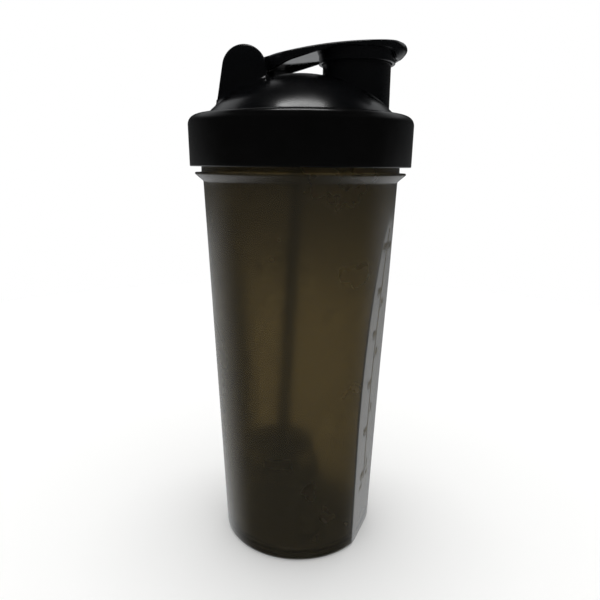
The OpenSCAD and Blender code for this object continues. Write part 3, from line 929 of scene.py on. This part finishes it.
def boss_shape():
    """The boss under the dome, with the round socket for the mixer's ball."""
    lip = math.asin(SOCKET_LIP_R / SOCKET_R)
    socket = [
        (SOCKET_R * math.sin(a), BALL_Z + SOCKET_R * math.cos(a))
        for a in np.linspace(math.pi - lip, 0, 20)
    ]
    root = float(dome_height(BOSS_R, 0, SPOUT_SUNK))
    profile = [(0, DOME_TOP - SPOUT_SUNK), (BOSS_R, root)]
    profile += [tuple(p) for p in rounded(
        [
            (BOSS_R, DOME_TOP - 4, 0), (BOSS_R, BOSS_LOW, 0.4),
            (SOCKET_LIP_R, BOSS_LOW, 0.2), (SOCKET_LIP_R, socket[0][1], 0),
        ]
    )]
    return lathe(profile + socket[1:], 64)


def cylinder(r, low, high, middle=(0, 0)):
    """A closed upright cylinder."""
    return lathe([(0, low), (r, low), (r, high), (0, high)], 144, middle)


def along_y(shape):
    """An upright shape laid along Y, with its axis on the hinge."""
    points, faces = shape
    turned = np.stack(
        (points[:, 0] + HINGE_X, -points[:, 2], points[:, 1] + HINGE_Z), 1
    )
    return turned, faces


lid_wall = solid("lid_wall", lathe(lid_profile(), 288), [satin_black, grained_black])
bore = solid("bore", cylinder(SPOUT_IN_R, 200, 224, (SPOUT_X, 0)), [satin_black])
lid_wall = cut_away(lid_wall, bore, "lid_wall")
for face in lid_wall.data.polygons:
    middle = face.center / MM
    if math.hypot(middle.x, middle.y) > DOME_R + 0.1 and middle.z < DOME_Z + 0.1:
        face.material_index = 1

lid_parts = [lid_wall, solid("spout", spout_shape(), [satin_black])]
for side in (-1, 1):
    ear_body, ear_foot = ear_shape(side)
    lid_parts.append(solid("ear", ear_body, [satin_black]))
    lid_parts.append(solid("ear_foot", ear_foot, [satin_black]))
lid_parts.append(solid("boss", boss_shape(), [satin_black]))
lid_parts.append(lid_thread)
lid_moulding = into_one("lid_moulding", lid_parts)


# -------------------------------------------------------------------- flip cap


def cap_crown(x, y):
    """Height of the cap's top: one long arc from hinge to nose, crowned across."""
    along = CAP_TOP - ARC_R + np.sqrt(ARC_R**2 - (x - ARC_X) ** 2)
    return along - (CROWN_R - np.sqrt(CROWN_R**2 - y * y))


def cap_outline():
    """Points round the cap as seen from above, and for each the point on the middle line
    that the mesh runs to: narrow arm, wide plate with round shoulders, finger tab."""
    half = ARM_W / 2
    narrow = math.acos((RIM_R - TAB_R) / (TAB_X - SPOUT_X))
    shoulder = (SHOULDER_X, RIM_R - SHOULDER_R)
    end = (
        shoulder[0] - SHOULDER_R * math.sin(SHOULDER_TURN),
        shoulder[1] + SHOULDER_R * math.cos(SHOULDER_TURN),
    )
    neck = rounded(
        [
            (HINGE_X, half, 0),
            (end[0] - (end[1] - half) / math.tan(SHOULDER_TURN), half, 0.8),
            (*end, 0),
        ]
    )
    points = [((x, y), (max(x, HINGE_X + 3), 0)) for x, y in divided(neck, 1.2)]
    for a in np.linspace(SHOULDER_TURN, 0, 10)[1:]:
        x = shoulder[0] - SHOULDER_R * math.sin(a)
        points.append(((x, shoulder[1] + SHOULDER_R * math.cos(a)), (x, 0)))
    for x in np.linspace(SHOULDER_X, SPOUT_X, 18)[1:]:
        points.append(((x, RIM_R), (x, 0)))
    for a in np.linspace(math.pi / 2, narrow, 16)[1:]:
        points.append(
            ((SPOUT_X + RIM_R * math.cos(a), RIM_R * math.sin(a)), (SPOUT_X, 0))
        )
    ends = [
        (x + r * math.cos(narrow), r * math.sin(narrow))
        for x, r in ((SPOUT_X, RIM_R), (TAB_X, TAB_R))
    ]
    for k in np.linspace(0, 1, 8)[1:]:
        x, y = (ends[0][i] + (ends[1][i] - ends[0][i]) * k for i in (0, 1))
        points.append(((x, y), (x - y / math.tan(narrow), 0)))
    for a in np.linspace(narrow, 0, 14)[1:]:
        points.append(((TAB_X + TAB_R * math.cos(a), TAB_R * math.sin(a)), (TAB_X, 0)))
    mirrored = [((x, -y), (sx, 0)) for (x, y), (sx, _) in points[-2::-1]]
    back = [((HINGE_X, y), (HINGE_X + 3, 0)) for y in np.linspace(-half, half, 8)[1:-1]]
    outline = points + mirrored + back
    return np.array([p for p, _ in outline]), np.array([s for _, s in outline])


def smooth(x, low, high):
    """Goes softly from 0 at low to 1 at high."""
    t = np.clip((x - low) / (high - low), 0, 1)
    return t * t * (3 - 2 * t)


def ceiling_height(x):
    """The under side of the cap's plate: it falls to the hinge, and rises into the tab."""
    rise = np.clip((x - EDGE_BEND_X) / (SPOUT_X - EDGE_BEND_X), 0, 1)
    return EDGE_Z + EDGE_LIP * rise - CEILING_FALL * np.maximum(0, EDGE_BEND_X - x)


def cap_plate():
    """The cap's plate and arm, with a thin lip all round the under side and the hook of the
    finger tab. Returns the skin, and which faces are the polished under side."""
    edge, spine = cap_outline()
    ahead = np.roll(edge, -1, 0) - np.roll(edge, 1, 0)
    inward = np.stack((ahead[:, 1], -ahead[:, 0]), 1)
    inward /= np.linalg.norm(inward, axis=1)[:, None]
    x = edge[:, 0]
    nose = smooth(x, 38.5, 44.0)
    roll = 0.7 + 2.3 * nose
    low = EDGE_Z - EDGE_FALL * np.maximum(0, EDGE_BEND_X - x)
    hook = smooth(x, 37.2, 41.0)
    low = low + (HOOK_Z - low) * hook + 0.5 * smooth(x, 43.0, 45.5)

    def at(inset):
        """The outline drawn in by this much, as seen from above."""
        return edge + inward * (inset * np.ones(len(edge)))[:, None]

    def towards_spine(start, share):
        return start + (spine - start) * share

    def ring(plan, height):
        return np.column_stack((plan, height))

    rings = []
    for share in (1.0, 0.85, 0.65, 0.45, 0.3, 0.18, 0.08):
        plan = towards_spine(at(roll), share)
        rings.append(ring(plan, cap_crown(plan[:, 0], plan[:, 1])))
    for a in np.radians((0, 15, 30, 45, 60, 75, 90)):
        plan = at(roll * (1 - math.sin(a)))
        top = cap_crown(plan[:, 0], plan[:, 1])
        rings.append(ring(plan, top - roll * (1 - math.cos(a))))
    shoulder = rings[-1][:, 2]
    # The nose leans back under itself below its foremost point
    lean = 2.6 * nose
    soft = 0.3

    def side(height, inset):
        """A ring on the side wall, drawn in further down the leaning nose."""
        drop = np.clip((shoulder - height) / np.maximum(shoulder - low, 0.1), 0, 1)
        return ring(at(inset + lean * drop**1.6), height)

    for share in (0.25, 0.5, 0.75, 1.0):
        rings.append(side(shoulder + (low + soft - shoulder) * share, 0.0))
    rings.append(side(low + soft * 0.3, soft * 0.3))
    rings.append(side(low, soft))
    rings.append(side(low, CAP_WALL - soft))
    rings.append(side(low + soft * 0.3, CAP_WALL - soft * 0.3))
    ceiling = np.maximum(ceiling_height(x), low + soft + 0.3)
    rings.append(side(low + soft, CAP_WALL))
    rings.append(side(ceiling - 0.25, CAP_WALL))
    rings.append(ring(side(ceiling, CAP_WALL)[:, :2] + inward * 0.25, ceiling))
    polished_from = len(rings) - 1
    start = side(ceiling, CAP_WALL)[:, :2] + inward * 0.6
    for share in (0.0, 0.3, 0.6, 0.85, 1.0):
        plan = towards_spine(start, share)
        rings.append(ring(plan, ceiling_height(plan[:, 0])))
    shape = skin(rings)
    return shape, [int(i // len(edge) >= polished_from) for i in range(len(shape[1]))]


def skirt_shape():
    """The skirt that reaches down over the spout, and the seat of the spout seal."""
    angles = np.linspace(0, 2 * math.pi, 144, endpoint=False)
    profile = rounded(
        [
            (0, CAP_SEAT_Z, 0),
            (SKIRT_IN_R, CAP_SEAT_Z, 0.2),
            (SKIRT_IN_R, SKIRT_LOW, 0.4),
            (SKIRT_R, SKIRT_LOW, 0.4),
            (SKIRT_R, CAP_SEAT_Z - 1, 0),
        ]
    )
    rings = []
    for r, z in profile:
        rings.append((r, np.full(len(angles), z)))
    for r in (SKIRT_R, SKIRT_R * 0.66, SKIRT_R * 0.33, 0):
        x, y = SPOUT_X + r * np.cos(angles), r * np.sin(angles)
        rings.append((r, cap_crown(x, y) - 0.9))
    return skin(
        [
            np.column_stack((SPOUT_X + r * np.cos(angles), r * np.sin(angles), z))
            for r, z in rings
        ]
    )


def knuckle_shape():
    """The arm's barrel between the ears, with a stud at each end."""
    end = ARM_W / 2
    tip = EAR_IN_Y + STUD_LEN - 0.3
    profile = rounded(
        [
            (0, -tip, 0), (STUD_R, -tip, 0.4), (STUD_R, -end, 0.1), (KNUCKLE_R, -end, 0.5),
            (KNUCKLE_R, end, 0.5), (STUD_R, end, 0.1), (STUD_R, tip, 0.4), (0, tip, 0),
        ]
    )
    return along_y(lathe(divided(profile, 4), 72))


plate, picks = cap_plate()
flip_moulding = into_one(
    "flip_cap_moulding",
    [
        solid("plate", plate, [satin_black, polished_black], picks, sharp_deg=38),
        solid("skirt", skirt_shape(), [satin_black]),
        solid("knuckle", knuckle_shape(), [satin_black]),
    ],
    sharp_deg=38,
)


# ------------------------------------------------------- pieces on their bodies


def placed(piece, body, slot, *nodes):
    """Puts a piece on its body, in the place of the nodes it stands for. Its slot is not used."""
    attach(piece, body)
    if nodes:
        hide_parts(*nodes)


placed(cup_wall, "cup", "cup_smoke", "cup")
placed(cup_marks, "cup", "cup_smoke")
placed(cup_thread, "cup", "cup_smoke")
placed(lid_moulding, "lid", "lid_black", "lid")
placed(flip_moulding, "cap", "lid_black", "flip_cap")
kept = {
    "spout_seal": dark_silicone,
    "lid_gasket": dark_silicone,
    "mixing_rod": smooth_black,
    "mixing_head": smooth_black,
}
for node, finish in kept.items():
    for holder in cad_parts[node].material_slots:
        holder.material = finish


# ------------------------------------------------------ floor, light and camera


def floor_finish():
    """Matt pale board."""
    material = bpy.data.materials.new("pale_board")
    material.use_nodes = True
    tree = material.node_tree
    tree.nodes.clear()
    surface = add(
        tree,
        "ShaderNodeBsdfPrincipled",
        {"Base Color": linear("#fdfdfc"), "Roughness": 0.9, "Specular IOR Level": 0.1},
    )
    add(tree, "ShaderNodeOutputMaterial", {"Surface": surface.outputs["BSDF"]})
    return material


FLOOR_R, FLOOR_T = 600, 4
floor_piece = solid(
    "floor",
    lathe([(0, 0), (FLOOR_R, 0), (FLOOR_R, -FLOOR_T), (0, -FLOOR_T)], 96),
    [floor_finish()],
)
# The board lights the bottle softly but isn't mirrored in it
floor_piece.visible_glossy = False

# The room is white all round. What gloss mirrors of it is bright only low down behind the
# bottle, so that the black plastic stays black in front.
room = bpy.data.worlds.new("room")
bpy.context.scene.world = room
room.use_nodes = True
room.cycles.sampling_method = "NONE"
tree = room.node_tree
tree.nodes.clear()
way = add(
    tree, "ShaderNodeSeparateXYZ",
    {"Vector": add(tree, "ShaderNodeTexCoord").outputs["Generated"]},
).outputs
behind = add(
    tree, "ShaderNodeMapRange",
    {"Value": way["Y"], "From Min": -0.1, "From Max": 0.5, "To Min": 0.05, "To Max": 1.0},
).outputs["Result"]
by_height = add(
    tree, "ShaderNodeFloatCurve", {"Value": add(
        tree, "ShaderNodeMapRange", {"Value": way["Z"], "From Min": -1.0, "From Max": 1.0}
    ).outputs["Result"]},
)
curve = by_height.mapping.curves[0]
for point, spot in zip(curve.points, ((0.0, 1.0), (1.0, 0.02))):
    point.location = spot
for spot in (
    (0.42, 0.55), (0.47, 0.1), (0.66, 0.06), (0.76, 0.5), (0.83, 0.45), (0.88, 0.02)
):
    curve.points.new(*spot)
by_height.mapping.update()
mirrored_room = add(
    tree, "ShaderNodeMath", {0: behind, 1: by_height.outputs[0]}, operation="MULTIPLY"
).outputs[0]
strength = add(
    tree, "ShaderNodeMix",
    {0: add(tree, "ShaderNodeLightPath").outputs["Is Glossy Ray"], 2: 1.0, 3: mirrored_room},
).outputs[0]
tone = add(
    tree, "ShaderNodeMix",
    {0: add(tree, "ShaderNodeLightPath").outputs["Is Glossy Ray"],
     6: (1.0, 1.0, 1.0, 1.0), 7: linear("#f2f4f6")},
    data_type="RGBA",
).outputs[2]
back = add(tree, "ShaderNodeBackground", {"Color": tone, "Strength": strength})
add(tree, "ShaderNodeOutputWorld", {"Surface": back.outputs[0]})


def lamp(name, place, aim, size, watts):
    """A soft box at a place, in metres, turned to face a point."""
    light = bpy.data.lights.new(name, "AREA")
    light.shape, light.size, light.size_y, light.energy = "RECTANGLE", *size, watts
    holder = bpy.data.objects.new(name, light)
    holder.location = place
    holder.rotation_euler = (
        (Vector(aim) - Vector(place)).to_track_quat("-Z", "Y").to_euler()
    )
    bpy.context.scene.collection.objects.link(holder)


lamp("overhead", (0.0, 0.07, 0.95), (0, 0, 0.2), (0.36, 0.07), 0.9)

# Camera: the same height and tilt as a person holds it, just in front of the bottle
DISTANCE, EYE, TILT, ROLL = 0.2527, 0.17852, math.radians(13.83), math.radians(0.484)
SENSOR_W, LENS, SHIFT = 36, 32.565, 0.00098
ahead = Vector((0, math.cos(TILT), -math.sin(TILT)))
right, up = Vector((1, 0, 0)), Vector((0, math.sin(TILT), math.cos(TILT)))
rolled_right = right * math.cos(ROLL) + up * math.sin(ROLL)
rolled_up = up * math.cos(ROLL) - right * math.sin(ROLL)
camera = bpy.data.objects.new("camera", bpy.data.cameras.new("camera"))
camera.data.sensor_width, camera.data.lens, camera.data.shift_x = SENSOR_W, LENS, SHIFT
camera.data.clip_start = 0.01
turned = Matrix((rolled_right, rolled_up, -ahead)).transposed().to_4x4()
camera.matrix_world = Matrix.Translation((0, -DISTANCE, EYE)) @ turned
bpy.context.scene.collection.objects.link(camera)
bpy.context.scene.camera = camera
bpy.context.scene.view_settings.view_transform = "Standard"
